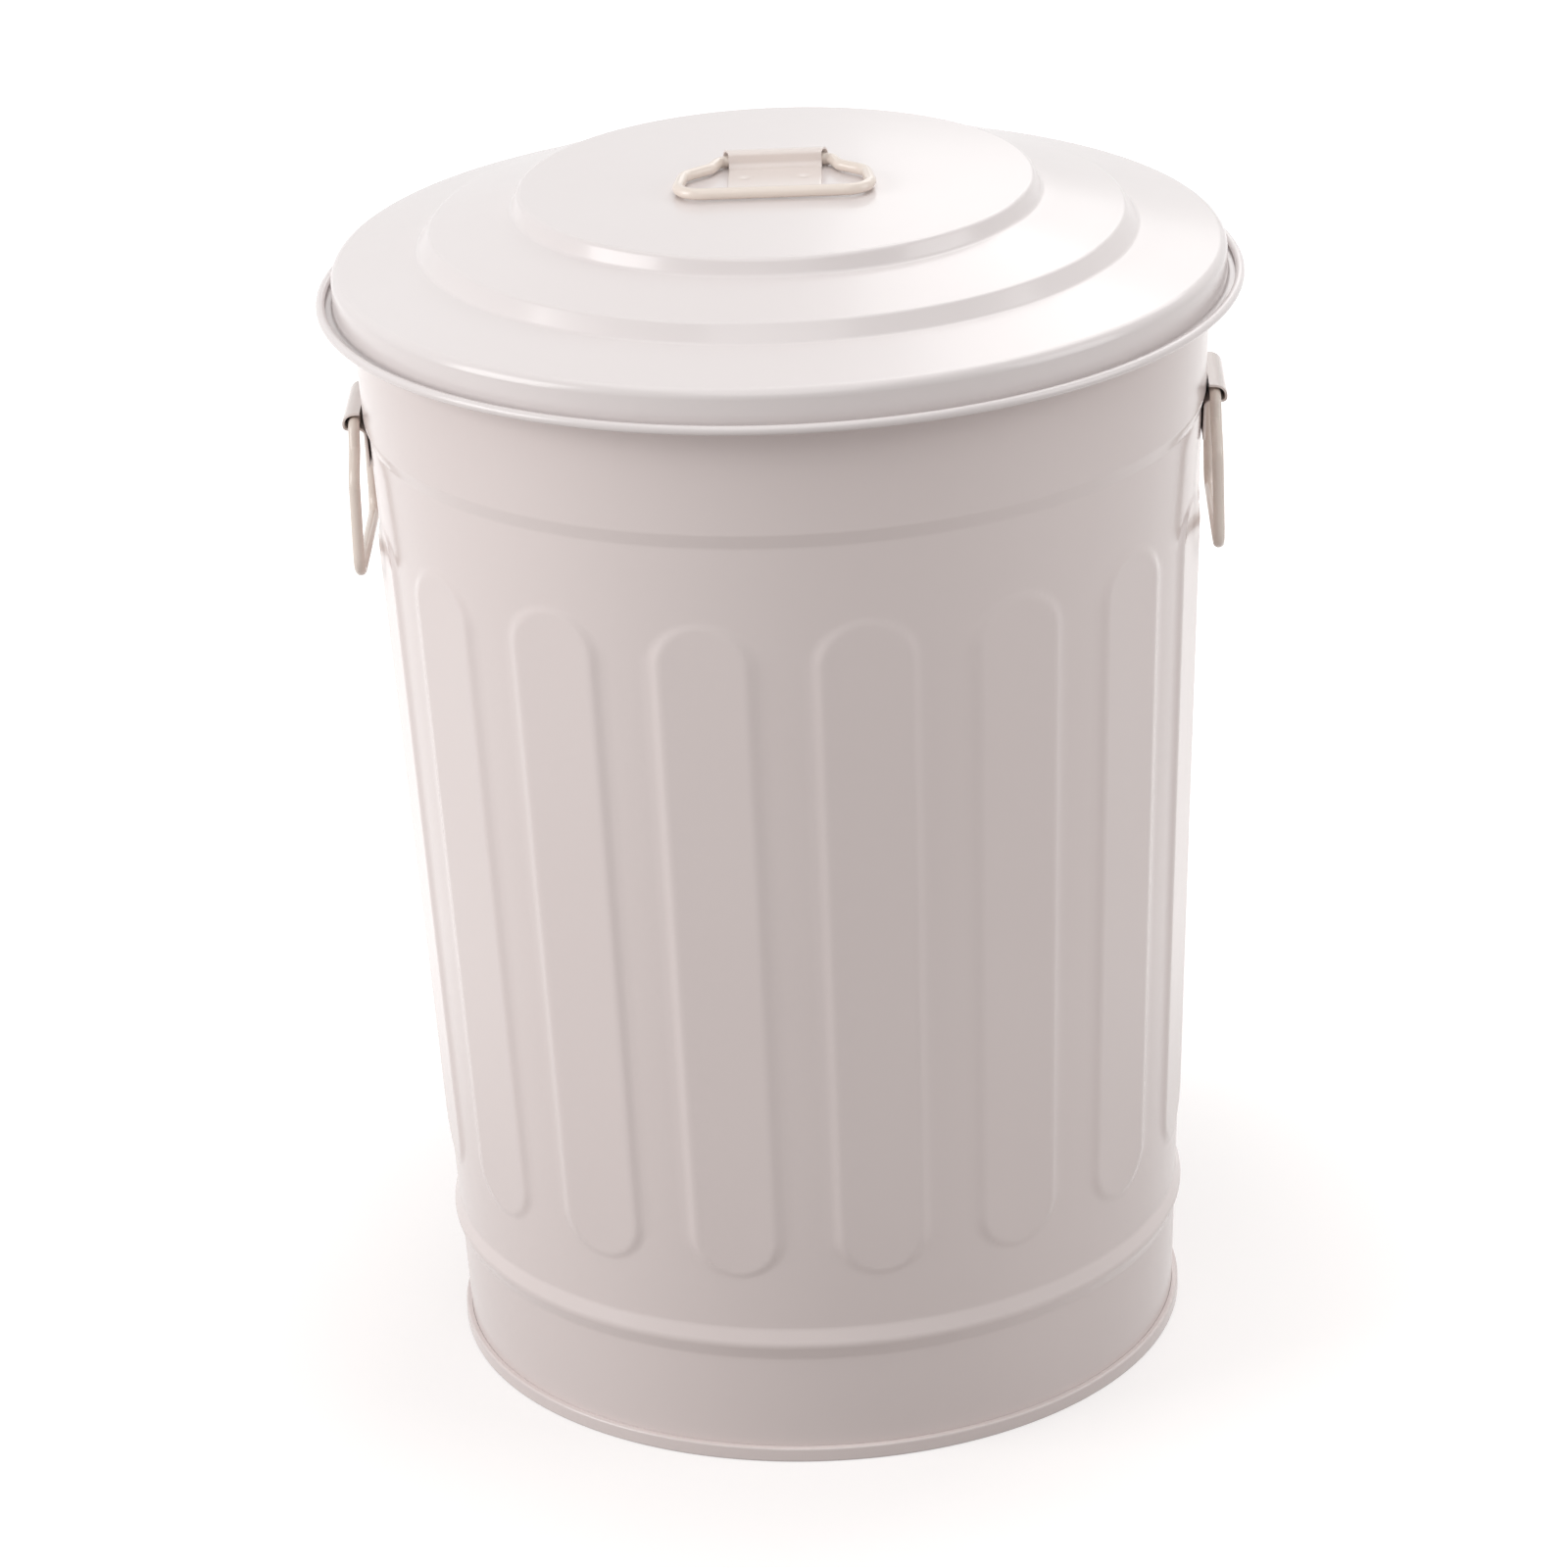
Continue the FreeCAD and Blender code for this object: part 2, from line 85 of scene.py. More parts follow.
# lid
LID_CLEARANCE = 1.3             # skirt to the rolled rim, all round
SEAT_GAP = 0.3                  # lid above the rolled rim
UPPER_RISER = ((121.9, 32.8), (125.3, 24.9))    # radius, and height above the shoulder
LOWER_RISER = ((164.6, 16.1), (170.4, 7.8))
CROWN_HEIGHT, CROWN_RISE = 35.2, 2.4    # plateau's middle above the shoulder and its own edge
CROWN_SHARE = 0.9               # part of the plateau that its crown's arc takes up
SKIRT_DEPTH = 17.4              # shoulder corner to the floor of the gutter
GUTTER_WIDTH = 3.6              # skirt to the rolled edge
LID_CURL_RADIUS, LID_CURL_INNER = 2.2, 1.4
RISER_BEND, SHOULDER_BEND, GUTTER_BEND = 3.0, 5.0, 1.5

# brackets
STRAP, STRAP_WIDTH, STRAP_CORNER = 1.2, 44.0, 0.3
STRAP_BEND, LOOP_FRONT_BEND, LOOP_BACK_BEND = 3.0, 2.5, 6.0
LOOP_ROOM, LOOP_HEADROOM = 2.4, 2.0     # wire to the loop's far outer face, and free height over it
LOOP_FLARE = 3.0                # the loop's far edge stands out this much at each end
DIMPLE_SPACING, DIMPLE_RADIUS, DIMPLE_DEPTH = 27.7, 2.3, 0.5
LID_PLATE, SIDE_PLATE = 33.0, 19.0
LID_FACE_Y = 8.6                # front face of the lid's loop
SIDE_LOOP_RISE = 1.4            # side loops above the crease of the step
SHARP_ANGLE = 35

# bails
WIRE = 5.5
BAIL_PLAY, BAIL_REST_GAP = 0.4, 0.3     # wire to the loop, and to the sheet under it
BAIL_SHOULDER = ((0.0, 26.5), (-11.0, 30.5), (-21.5, 43.0))    # half the outline, from the bar on
BAIL_BENDS = (5.0, 8.0, 12.0)
BAIL_HALF_WIDTH = 46.5
LID_BAIL_REACH, LID_BAIL_CORNER = 51.0, 12.0
SIDE_BAIL_REACH, SIDE_BAIL_CORNER = 69.0, 9.0


def wall(z):
    """Outer radius of the plain cone at height z."""
    return WALL_RADIUS + WALL_FLARE * z


RIM_Z = CAN_HEIGHT - RIM_CURL_OUTER
RIM_RADIUS = wall(RIM_Z) + STEP_OUT + RIM_CURL_INNER / math.cos(SLOPE)
HEM_RADIUS = wall(0) + HEM_POCKET + 2 * SHEET + HEM_GAP
SHOULDER_RADIUS = RIM_RADIUS + RIM_CURL_OUTER + LID_CLEARANCE + SHEET
LID_RADIUS = SHOULDER_RADIUS + GUTTER_WIDTH + 2 * LID_CURL_RADIUS
BAR_SETBACK = STRAP + BAIL_PLAY + WIRE / 2      # front face of the loop to the bail's bar
LOOP_DEPTH = BAR_SETBACK + WIRE / 2 + LOOP_ROOM
BAR_LIFT = BAIL_REST_GAP + WIRE / 2             # sheet to the middle of the bail's bar
LOOP_HEIGHT = BAR_LIFT + WIRE / 2 + LOOP_HEADROOM + STRAP


# ---- profiles --------------------------------------------------------------------------------
FINEST = 0.25       # in small bends the samples are about this far apart
TINY = 1e-6
MM = 0.001          # a millimetre in metres


def path_points(points, radii, step, cuts=None):
    """Samples of a path with rounded corners: rows of r, z and the normal on its left side.

    A bend is divided every step degrees. cuts(a, b) gives the fractions at which a straight
    stretch from a to b is divided.
    """
    p = [np.array(q, float) for q in points]
    rows, start = [], p[0]
    for i in range(1, len(p)):
        d = (p[i] - p[i - 1]) / np.linalg.norm(p[i] - p[i - 1])
        left = np.array([-d[1], d[0]])
        if i == len(p) - 1:
            rows += straight(start, p[i], left, cuts)
            break
        e = (p[i + 1] - p[i]) / np.linalg.norm(p[i + 1] - p[i])
        turn = math.atan2(d[0] * e[1] - d[1] * e[0], d[0] * e[0] + d[1] * e[1])
        radius = math.copysign(radii[i - 1], turn)
        run = radius * math.tan(turn / 2)
        rows += straight(start, p[i] - d * run, left, cuts)
        center = p[i] - d * run + left * radius
        count = min(math.ceil(math.degrees(abs(turn)) / step), math.ceil(radius * turn / FINEST))
        count = max(2, count)
        for k in range(1, count):
            a = turn * k / count
            n = np.array([left[0] * math.cos(a) - left[1] * math.sin(a),
                          left[0] * math.sin(a) + left[1] * math.cos(a)])
            rows.append((*(center - n * radius), *n))
        start = p[i] + e * run
    return np.array(rows)


def straight(a, b, normal, cuts):
    """Samples of a straight stretch, both ends included."""
    if np.linalg.norm(b - a) < TINY:
        return []
    stops = [0.0, *(cuts(a, b) if cuts else ()), 1.0]
    return [(*(a + (b - a) * t), *normal) for t in stops]


def at_heights(heights, shortest=1, clear=0.3):
    """Cuts at the given heights, clear of the ends, on stretches that are not too short."""
    def cuts(a, b):
        if abs(b[1] - a[1]) < shortest:
            return []
        inside = [(h - a[1]) / (b[1] - a[1]) for h in heights]
        margin = clear / abs(b[1] - a[1])
        return sorted(t for t in inside if margin < t < 1 - margin)
    return cuts


def every(spacing):
    """Cuts about a spacing apart."""
    def cuts(a, b):
        count = max(1, round(float(np.linalg.norm(b - a)) / spacing))
        return [k / count for k in range(1, count)]
    return cuts


def arc_points(center, radius, start, end, step=12.0):
    """Samples of an arc, counter-clockwise; the normal points to the centre, on the left side."""
    count = max(2, math.ceil(abs(end - start) / step))
    rows = []
    for a in np.radians(np.linspace(start, end, count + 1)):
        n = np.array([math.cos(a), math.sin(a)])
        rows.append((*(np.array(center) + radius * n), *(-n)))
    return np.array(rows)


# ---- meshes ----------------------------------------------------------------------------------
def make_mesh(name, verts, faces, normals, material, body, slot, *nodes):
    """A piece from arrays in millimetres, in place of CAD nodes. normals are optional."""
    data = bpy.data.meshes.new(name)
    data.from_pydata((np.asarray(verts) * MM).tolist(), [], [tuple(f) for f in faces])
    data.validate()
    data.polygons.foreach_set("use_smooth", [True] * len(data.polygons))
    if normals is not None:
        data.normals_split_custom_set_from_vertices(np.asarray(normals).tolist())
    piece = bpy.data.objects.new(name, data)
    bpy.context.scene.collection.objects.link(piece)
    data.materials.append(material)
    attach(piece, body)
    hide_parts(*nodes)
    return piece


def grid_faces(rows, columns, offset, flip):
    """Quads between neighbouring rows of a grid of vertices, closed round each row."""
    i = np.arange(rows - 1)[:, None]
    j = np.arange(columns)[None, :]
    a = offset + i * columns + j
    b = offset + i * columns + (j + 1) % columns
    quads = np.stack([a, b, b + columns, a + columns], axis=-1).reshape(-1, 4)
    return quads[:, ::-1] if flip else quads


def turned_face(line, depth, sign, ring, relief):
    """Points and normals of one face of a turned sheet, as grids of rows by columns."""
    turn_step, rise_step, smallest_radius = 1e-4, 0.05, 1.0
    n = len(ring)
    z = line[:, 1] - depth * line[:, 3]
    radius = np.repeat((line[:, 0] - depth * line[:, 2])[:, None], n, 1)
    slope_turn = np.zeros_like(radius)
    slope_up = np.zeros_like(radius)
    if relief:
        grid_z = np.repeat(z[:, None], n, 1)
        grid_a = np.repeat(ring[None, :], len(z), 0)
        radius = radius + relief(grid_a, grid_z)
        ahead, behind = relief(grid_a + turn_step, grid_z), relief(grid_a - turn_step, grid_z)
        above, below = relief(grid_a, grid_z + rise_step), relief(grid_a, grid_z - rise_step)
        slope_turn = (ahead - behind) / (2 * turn_step)
        slope_up = (above - below) / (2 * rise_step)
    nr = np.repeat(line[:, 2][:, None], n, 1) * sign
    nz = np.repeat(line[:, 3][:, None], n, 1) * sign - nr * slope_up
    nt = -nr * slope_turn / np.maximum(radius, smallest_radius)
    c, s = np.cos(ring)[None, :], np.sin(ring)[None, :]
    points = np.stack([radius * c, radius * s, np.repeat(z[:, None], n, 1)], axis=-1)
    normals = np.stack([nr * c - nt * s, nr * s + nt * c, nz], axis=-1)
    return points, normals / np.linalg.norm(normals, axis=-1, keepdims=True)


def lathe(path, thickness, angles, relief=None, keep=None):
    """A sheet turned about Z. The path runs on one face; the other lies to its right.

    relief(angle, z) gives a radial offset for both faces. Where the path starts on the axis,
    each face closes in one point. keep picks the rows that the other face has too.
    """
    points, normals, faces, ends, offset = [], [], [], [], 0
    ring = np.radians(angles)
    n = len(ring)
    closed = path[0, 0] < TINY
    for side in (0, 1):
        line = path if side == 0 or keep is None else path[keep]
        p, v = turned_face(line, side * thickness, 1 - 2 * side, ring, relief)
        rows = len(line) - closed
        points.append(p[closed:].reshape(-1, 3))
        normals.append(v[closed:].reshape(-1, 3))
        faces += grid_faces(rows, n, offset, side == 0).tolist()
        ends.append((offset, offset + (rows - 1) * n))
        if closed:
            tip = offset + rows * n
            points.append(p[0, :1])
            normals.append(v[0, :1])
            for j in range(n):
                a, b = offset + j, offset + (j + 1) % n
                faces.append((tip, a, b) if side == 0 else (tip, b, a))
        offset += rows * n + closed
    j = np.arange(n)
    k = (j + 1) % n
    for end in (1,) if closed else (0, 1):
        a, b = ends[0][end], ends[1][end]
        cap = np.stack([a + j, a + k, b + k, b + j], axis=-1)
        faces += (cap[:, ::-1] if end else cap).tolist()
    return np.concatenate(points), faces, np.concatenate(normals)


def smooth_min(a, b, k):
    """The smaller of two values, rounded over a width k where they cross."""
    h = np.clip(0.5 + 0.5 * (b - a) / k, 0, 1)
    return b + (a - b) * h - k * h * (1 - h)


def smooth_max(a, b, k):
    """The larger of two values, rounded over a width k where they cross."""
    return -smooth_min(-a, -b, k)


# ---- materials -------------------------------------------------------------------------------
NOISE_LOW, NOISE_HIGH = 0.3, 0.7    # most of a noise texture's values lie between these


def node_material(name):
    """A new material, its node tree and its shader."""
    mat = bpy.data.materials.new(name)
    mat.use_nodes = True
    tree = mat.node_tree
    return mat, tree, tree.nodes["Principled BSDF"]


def link(tree, a, b):
    tree.links.new(a, b)


def ramp(tree, source, low, high):
    """Colours from low to high over a noise's range."""
    node = tree.nodes.new("ShaderNodeValToRGB")
    first, last = node.color_ramp.elements
    first.position, last.position = NOISE_LOW, NOISE_HIGH
    first.color, last.color = (*low, 1), (*high, 1)
    link(tree, source, node.inputs["Fac"])
    return node.outputs["Color"]


def noise(tree, coords, scale, detail, rough):
    node = tree.nodes.new("ShaderNodeTexNoise")
    node.inputs["Scale"].default_value = scale
    node.inputs["Detail"].default_value = detail
    node.inputs["Roughness"].default_value = rough
    link(tree, coords, node.inputs["Vector"])
    return node.outputs["Fac"]


def remap(tree, source, low, high):
    """Values from low to high over a noise's range."""
    node = tree.nodes.new("ShaderNodeMapRange")
    node.inputs["From Min"].default_value = NOISE_LOW
    node.inputs["From Max"].default_value = NOISE_HIGH
    node.inputs["To Min"].default_value, node.inputs["To Max"].default_value = low, high
    link(tree, source, node.inputs["Value"])
    return node.outputs["Result"]


def powder_coat(name, pale, deep, gloss=0.22, peel=0.025):
    """Glossy powder coat: faint drifts of colour, orange peel, and fine flow marks in the gloss."""
    mat, tree, shader = node_material(name)
    coords = tree.nodes.new("ShaderNodeTexCoord").outputs["Object"]
    cloud = noise(tree, coords, scale=5.0, detail=2.0, rough=0.5)
    link(tree, ramp(tree, cloud, deep, pale), shader.inputs["Base Color"])
    mottle = noise(tree, coords, scale=60.0, detail=4.0, rough=0.6)
    link(tree, remap(tree, mottle, gloss - 0.012, gloss + 0.015), shader.inputs["Roughness"])
    orange = noise(tree, coords, scale=620.0, detail=2.0, rough=0.5)
    bump = tree.nodes.new("ShaderNodeBump")
    bump.inputs["Strength"].default_value = peel
    bump.inputs["Distance"].default_value = 0.0004
    link(tree, orange, bump.inputs["Height"])
    link(tree, bump.outputs["Normal"], shader.inputs["Normal"])
    shader.inputs["IOR"].default_value = 1.5
    shader.inputs["Coat Weight"].default_value = 0.15
    shader.inputs["Coat Roughness"].default_value = 0.1
    return mat


def plated_wire(name):
    """Zinc-plated wire with drawing streaks."""
    mat, tree, shader = node_material(name)
    coords = tree.nodes.new("ShaderNodeTexCoord").outputs["Object"]
    streak = noise(tree, coords, scale=300.0, detail=5.0, rough=0.6)
    link(tree, ramp(tree, streak, (0.36, 0.36, 0.35), (0.6, 0.6, 0.59)), shader.inputs["Base Color"])
    link(tree, remap(tree, streak, 0.3, 0.5), shader.inputs["Roughness"])
    shader.inputs["Metallic"].default_value = 1.0
    return mat


BODY_PAINT = powder_coat("body_powder_coat", (0.79, 0.705, 0.685), (0.78, 0.69, 0.67))
LID_PAINT = powder_coat("lid_powder_coat", (0.79, 0.735, 0.725), (0.78, 0.72, 0.71))
FITTING_PAINT = powder_coat("fitting_powder_coat", (0.79, 0.71, 0.67), (0.775, 0.69, 0.65), 0.2, 0.02)
WIRE_PAINT = powder_coat("wire_powder_coat", (0.80, 0.705, 0.63), (0.785, 0.685, 0.61), 0.2, 0.02)
PLATED = plated_wire("rim_wire_zinc")


# ---- body ------------------------------------------------------------------------------------
def panel_centres():
    """Directions of the panels' centre lines, in degrees. They leave a wider gap at the back."""
    half = PANEL_COUNT // 2
    return [FRONT + PANEL_PITCH * (i + 0.5) for i in range(-half, half)]


def degrees_from(angle, middle):
    """Signed degrees from a direction, for angles in radians."""
    return (np.degrees(angle) - middle + 180.0) % 360.0 - 180.0


def panel_relief(angle, z):
    """Radial offset of the pressed panels and the lock seam from the plain cone."""
    radius = wall(z)
    phi = degrees_from(angle, FRONT)
    index = np.clip(np.floor(phi / PANEL_PITCH), -(PANEL_COUNT // 2), PANEL_COUNT // 2 - 1)
    off = np.radians(phi - (index + 0.5) * PANEL_PITCH)
    middle = (PANEL_FOOT_Z + PANEL_TOP_Z) / 2
    across = np.abs(radius * np.tan(off)) * (wall(middle) / radius)
    half = math.radians(PANEL_HALF_DEG) * wall(middle) - PANEL_RUN / 2
    low = PANEL_FOOT_Z + PANEL_RUN / 2 + half
    high = PANEL_TOP_Z - PANEL_RUN / 2 - half
    along = z - np.clip(z, low, high)
    outside = np.hypot(across, along) - half
    flat = (radius + PANEL_RISE) / np.cos(off)
    sloped = (radius + PANEL_RISE - PANEL_DROP / PANEL_RUN * outside) / np.cos(off)
    raised = smooth_max(radius, smooth_min(flat, sloped, PANEL_BLEND), PANEL_BLEND) - radius
    back = np.abs(degrees_from(angle, BACK))
    edge = np.clip((SEAM_WIDTH / 2 - np.radians(back) * radius) / SEAM_EDGE + 0.5, 0, 1)
    seam = SEAM_RISE * edge * edge * (3 - 2 * edge)
    fade = np.clip((z - RELIEF_MARGIN) / SEAM_FADE_FOOT, 0, 1)
    fade *= np.clip((RIM_Z - RELIEF_MARGIN - z) / SEAM_FADE_TOP, 0, 1)
    return np.where(back > PANEL_CUT, raised, 0) + seam * fade


def body_angles():
    """Columns of the body mesh: close together on the sloped edges of panels and seam."""
    offsets = [0.0, 0.9, 1.8, 2.7, 3.6, 4.5, 5.3, PANEL_PITCH / 2]
    offsets += [PANEL_HALF_DEG + e for e in (-0.95, -0.65, -0.3, 0.0, 0.3, 0.65, 0.95, 2.2)]
    seam_offsets = (0.0, 0.6, 1.0, 1.12, 1.24, 1.36, 1.5, 2.2, 3.6)
    columns = set()
    for c in panel_centres():
        for o in offsets:
            columns |= {round(c + o, 4), round(c - o, 4)}
    for o in seam_offsets:
        columns |= {round(BACK + o, 4), round(BACK - o, 4)}
    angles = sorted(a % 360 for a in columns)
    keep, closest = [angles[0]], 0.05
    for a in angles[1:]:
        if a - keep[-1] > closest:
            keep.append(a)
    return keep


def body_heights():
    """Heights of the body's rows: close together where panels and seam end."""
    fine, coarse, panel_end = 1.5, 24.0, 25
    heights = [RELIEF_MARGIN + h for h in (0, 0.5, 1.0, 1.5)] + [20, 32, 44, 80, 90]
    heights += list(np.arange(PANEL_FOOT_Z - fine, PANEL_FOOT_Z + panel_end, fine))
    heights += list(np.arange(PANEL_FOOT_Z + panel_end + 1, PANEL_TOP_Z - panel_end - 1, coarse))
    heights += list(np.arange(PANEL_TOP_Z - panel_end + 1, PANEL_TOP_Z + 2, fine))
    heights += [450, 462, 495, 507, 519, 531]
    return heights + [RIM_Z - (RELIEF_MARGIN + h) for h in (2.0, 1.5, 1.0, 0.5, 0)]


def body_shell():
    """Wall sheet from the rim's curl down to the foot hook. Its inner face has fewer rows."""
    rim = (RIM_RADIUS, RIM_Z)
    curl = arc_points(rim, RIM_CURL_INNER, RIM_CURL_END, 180.0 - math.degrees(SLOPE), step=14.0)
    step_top = STEP_FOOT_Z + STEP_HEIGHT
    bead_top, bead_foot = BEAD_Z + BEAD_HALF_WIDTH, BEAD_Z - BEAD_HALF_WIDTH
    hook = HEM_RADIUS - 2 * SHEET - HEM_GAP
    points = [tuple(curl[-1, :2]), (wall(step_top) + STEP_OUT, step_top),
              (wall(STEP_FOOT_Z), STEP_FOOT_Z), (wall(bead_top), bead_top),
              (wall(BEAD_Z) + BEAD_PEAK, BEAD_Z), (wall(bead_foot), bead_foot),
              (wall(FOOT_Z), FOOT_Z), (hook, FOOT_Z), (hook, HOOK_TOP_Z)]
    bends = [FORM_RADIUS] * 5 + [HOOK_BEND] * 2
    path = path_points(points, bends, step=4.0, cuts=at_heights(body_heights()))
    path = np.concatenate([curl, path[1:]])
    panels = (path[:, 1] > PANEL_FOOT_Z) & (path[:, 1] < PANEL_TOP_Z)
    keep = [i for i in range(len(path)) if i % (4 if panels[i] else 2) == 0 or i == len(path) - 1]

    def relief(angle, z):
        inside = (z > RELIEF_MARGIN) & (z < RIM_Z - RELIEF_MARGIN)
        return np.where(inside, panel_relief(angle, z), 0)

    return lathe(path, SHEET, body_angles(), relief, keep)


def base_pan():
    """Pan with a round bead, whose rim folds round the body's hook."""
    inner, outer = wall(0) - PAN_INSET, HEM_RADIUS - SHEET
    points = [(0, PAN_LIFT), *PAN_BEAD, (inner, PAN_LIFT), (inner, SHEET), (outer, SHEET),
              (outer, HEM_LIP_Z), (wall(HEM_LIP_Z) + HEM_LIP_GAP, HEM_LIP_Z)]
    path = path_points(points, [PAN_BEND] * 5 + [HEM_BEND] * 3, step=10.0)
    return lathe(path, SHEET, np.arange(0, 360, 1.5))


# ---- lid -------------------------------------------------------------------------------------
def shoulder_level():
    """Height of the lid's shoulder corner when its slope rests just over the rolled rim."""
    foot, height = LOWER_RISER[-1]
    slope = height / (SHOULDER_RADIUS - foot)
    lean = math.cos(math.atan(slope))
    lift = (RIM_CURL_OUTER + SEAT_GAP + SHEET) / lean
    return RIM_Z + lift - slope * (SHOULDER_RADIUS - RIM_RADIUS)


SHOULDER_Z = shoulder_level()
CROWN_Z = SHOULDER_Z + CROWN_HEIGHT


def lid_shell():
    """Lid sheet from the middle of its crowned plateau out to its rolled edge."""
    gutter = SHOULDER_Z - SKIRT_DEPTH
    curl_center = (LID_RADIUS - LID_CURL_RADIUS, gutter + LID_CURL_INNER)
    plateau = UPPER_RISER[0][0]
    turn = math.atan2(CROWN_RISE, plateau / 2)
    points = [(0, CROWN_Z), (plateau / 2, CROWN_Z)]
    points += [(r, SHOULDER_Z + h) for r, h in UPPER_RISER + LOWER_RISER]
    points += [(SHOULDER_RADIUS, SHOULDER_Z), (SHOULDER_RADIUS, gutter), (curl_center[0], gutter)]
    crown_bend = CROWN_SHARE * plateau / 2 / math.tan(turn / 2)
    bends = [crown_bend] + [RISER_BEND] * 4 + [SHOULDER_BEND, GUTTER_BEND]
    path = path_points(points, bends, step=6.0, cuts=every(6.0))
    curl = arc_points(curl_center, LID_CURL_INNER, -90.0, 170.0)
    path = np.concatenate([path, curl[1:]])
    return lathe(path, SHEET, np.arange(0, 360, 1.25))


# ---- brackets and bails ----------------------------------------------------------------------
def strap_outline():
    """Points round the strap's section: place across the width, inset from the edge, and depth."""
    quarter = []
    for a in np.radians(np.arange(0, 91, 30)):
        quarter.append((STRAP_CORNER - math.cos(a) * STRAP_CORNER, math.sin(a) * STRAP_CORNER - STRAP_CORNER))
    across = np.linspace(-1, 1, 45)[1:-1]
    outline = [(1, inset, depth) for inset, depth in quarter]
    outline += [(t, STRAP_CORNER, 0) for t in across[::-1]]
    outline += [(-1, inset, depth) for inset, depth in quarter[::-1]]
    outline += [(-1, inset, -STRAP - depth) for inset, depth in quarter]
    outline += [(t, STRAP_CORNER, -STRAP) for t in across]
    outline += [(1, inset, -STRAP - depth) for inset, depth in quarter[::-1]]
    return outline


def strap(plate, step):
    """Strap over the wire, as arrays. x runs along the surface, away from the plate; z is outward."""
    height = LOOP_HEIGHT + step
    points = [(-plate, STRAP), (0, STRAP), (0, height), (LOOP_DEPTH, height), (LOOP_DEPTH, step)]
    bends = [STRAP_BEND, LOOP_FRONT_BEND, LOOP_BACK_BEND]
    path = path_points(points, bends, step=9.0, cuts=every(1.0))
    outline = strap_outline()
    verts = []
    for x, z, nx, nz in path:
        half = STRAP_WIDTH / 2 + LOOP_FLARE * min(1, max(0, x / LOOP_DEPTH))
        for across, inset, depth in outline:
            y = across * (half - inset)
            if depth == 0 and abs(across) < 1 and x < 0:
                for side in (-0.5, 0.5):
                    away = math.hypot(x + plate / 2, y - side * DIMPLE_SPACING)
                    depth -= DIMPLE_DEPTH * math.exp(-(away / DIMPLE_RADIUS) ** 2)
            verts.append((x + nx * depth, y, z + nz * depth))
    count = len(outline)
    faces = grid_faces(len(path), count, 0, False).tolist()
    faces.append(list(range(count))[::-1])
    faces.append(list(range((len(path) - 1) * count, len(path) * count)))
    return np.array(verts), faces


def wire_loop(reach, corner):
    """Closed wire handle, as arrays: its bar on the y axis, its grip at x = -reach."""
    half = [*BAIL_SHOULDER, (-reach, BAIL_HALF_WIDTH)]
    points = [(0.0, 0.0)] + half + [(x, -y) for x, y in half[::-1]] + [(0.0, 0.0)]
    bends = [*BAIL_BENDS, corner]
    path = path_points(points, bends + bends[::-1], step=7.5, cuts=every(4.0))[:-1]
    spin = np.radians(np.arange(0, 360, 15))
    verts, normals = [], []
    for x, y, nx, ny in path:
        for a in spin:
            n = np.array([nx * math.cos(a), ny * math.cos(a), math.sin(a)])
            verts.append(np.array([x, y, 0]) + n * WIRE / 2)
            normals.append(n)
    rows, columns = len(path), len(spin)
    i = np.arange(rows)[:, None]
    j = np.arange(columns)[None, :]
    a, b = i * columns + j, i * columns + (j + 1) % columns
    c, d = ((i + 1) % rows) * columns + (j + 1) % columns, ((i + 1) % rows) * columns + j
    faces = np.stack([a, b, c, d], axis=-1).reshape(-1, 4).tolist()
    return np.array(verts), faces, np.array(normals)


def placed(points, matrix, turn_only=False):
    """Points, or directions, moved by a 4x4 matrix."""
    m = np.array(matrix)
    out = np.asarray(points) @ m[:3, :3].T
    return out if turn_only else out + m[:3, 3]


def on_lid():
    """Place of the lid's strap and bail, lying on the plateau."""
    return Matrix.Translation((0, LID_FACE_Y, CROWN_Z)) @ Matrix.Rotation(math.pi / 2, 4, "Z")


def on_side(side, lean=0.0):
    """Place of a strap or bail on the wall: side is 1 for the right and -1 for the left."""
    z = STEP_FOOT_Z + SIDE_LOOP_RISE
    spot = Matrix.Rotation(0 if side > 0 else math.pi, 4, "Z") @ Matrix.Translation((wall(z), 0, z))
    return spot @ Matrix.Rotation(math.pi, 4, "Z") @ Matrix.Rotation(-math.pi / 2 - lean, 4, "Y")


def side_pivot():
    """The side bail's bar in the upright place, when its strap leans with the wall."""
    lift = STEP_OUT + BAR_LIFT
    return (BAR_SETBACK * math.cos(SLOPE) - lift * math.sin(SLOPE), 0,
            BAR_SETBACK * math.sin(SLOPE) + lift * math.cos(SLOPE))


